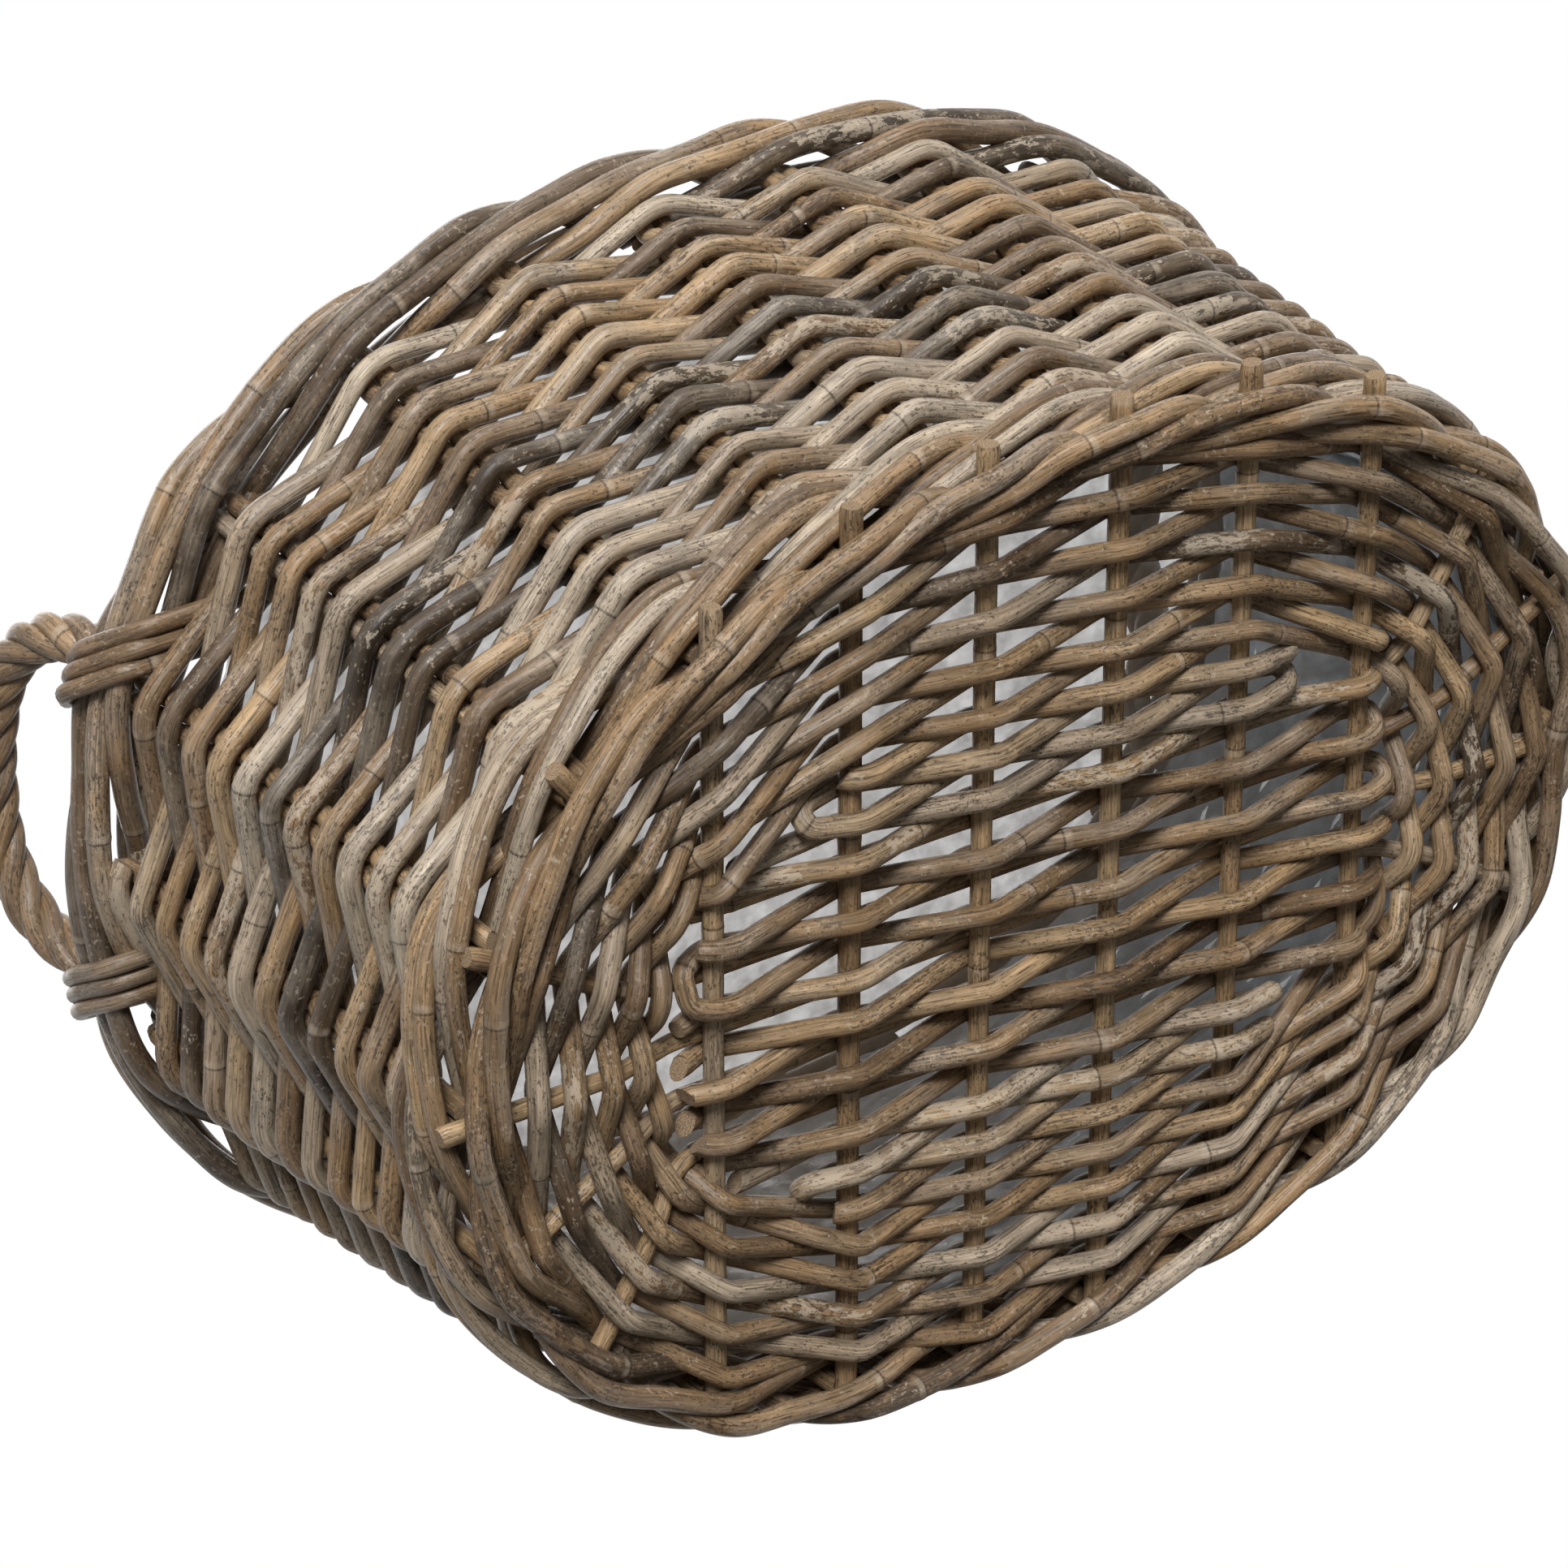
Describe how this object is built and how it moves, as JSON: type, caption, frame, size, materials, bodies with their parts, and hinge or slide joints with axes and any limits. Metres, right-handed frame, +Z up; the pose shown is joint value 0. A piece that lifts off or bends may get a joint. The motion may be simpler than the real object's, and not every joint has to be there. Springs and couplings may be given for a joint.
{
  "type": "oval basket",
  "caption": "Oval woven rattan basket with a flared wall, rolled rim, twisted end handles and a clear liner.",
  "frame": {"origin": "on the floor, in the middle of the foot", "axes": "+X along the oval's length towards one handle, +Y across it, +Z up through the mouth"},
  "size_m": [0.6442, 0.5216, 0.362],
  "materials": {
    "rattan_base": "weathered rattan with the bark partly worn off",
    "rattan_foot": "weathered rattan with the bark partly worn off",
    "rattan_stakes": "brown rattan, matt",
    "rattan_wall": "grey-washed rattan with a soft gloss",
    "rattan_border": "grey-washed rattan with a soft gloss",
    "rattan_handle": "soaked and twisted rattan with a soft gloss",
    "clear_film": "thin clear wrinkled film"
  },
  "bodies": {
    "root": {"base_cross_stick_1": "rattan_base", "base_cross_stick_2": "rattan_base", "base_cross_stick_3": "rattan_base", "base_cross_stick_4": "rattan_base", "base_cross_stick_5": "rattan_base", "base_cross_stick_6": "rattan_base", "base_long_stick_1": "rattan_base", "base_long_stick_2": "rattan_base", "base_long_stick_3": "rattan_base", "base_long_stick_4": "rattan_base", "base_long_stick_5": "rattan_base", "base_packing_front": "rattan_base", "base_packing_front_short": "rattan_base", "base_packing_back": "rattan_base", "base_packing_back_short": "rattan_base", "base_round_weaver_1": "rattan_base", "base_round_weaver_2": "rattan_base", "foot_rod_1": "rattan_foot", "foot_rod_2": "rattan_foot", "foot_rod_3": "rattan_foot", "upset_rod_1": "rattan_foot", "upset_rod_2": "rattan_foot", "upset_rod_3": "rattan_foot", "stake_pair_01": "rattan_stakes", "stake_pair_02": "rattan_stakes", "stake_pair_03": "rattan_stakes", "stake_pair_04": "rattan_stakes", "stake_pair_05": "rattan_stakes", "stake_pair_06": "rattan_stakes", "stake_pair_07": "rattan_stakes", "stake_pair_08": "rattan_stakes", "stake_pair_09": "rattan_stakes", "stake_pair_10": "rattan_stakes", "stake_pair_11": "rattan_stakes", "stake_pair_12": "rattan_stakes", "stake_pair_13": "rattan_stakes", "stake_pair_14": "rattan_stakes", "stake_pair_15": "rattan_stakes", "stake_pair_16": "rattan_stakes", "stake_pair_17": "rattan_stakes", "stake_pair_18": "rattan_stakes", "stake_pair_19": "rattan_stakes", "stake_pair_20": "rattan_stakes", "stake_pair_21": "rattan_stakes", "stake_pair_22": "rattan_stakes", "wall_weaver_a1": "rattan_wall", "wall_weaver_a2": "rattan_wall", "wall_weaver_a3": "rattan_wall", "wall_weaver_a4": "rattan_wall", "wall_weaver_b1": "rattan_wall", "wall_weaver_b2": "rattan_wall", "wall_weaver_b3": "rattan_wall", "wall_weaver_b4": "rattan_wall", "border_rod_1": "rattan_border", "border_rod_2": "rattan_border", "border_rod_3": "rattan_border", "border_rod_4": "rattan_border", "handle_left": "rattan_handle", "handle_right": "rattan_handle", "clear_liner": "clear_film"}
  },
  "joints": []
}
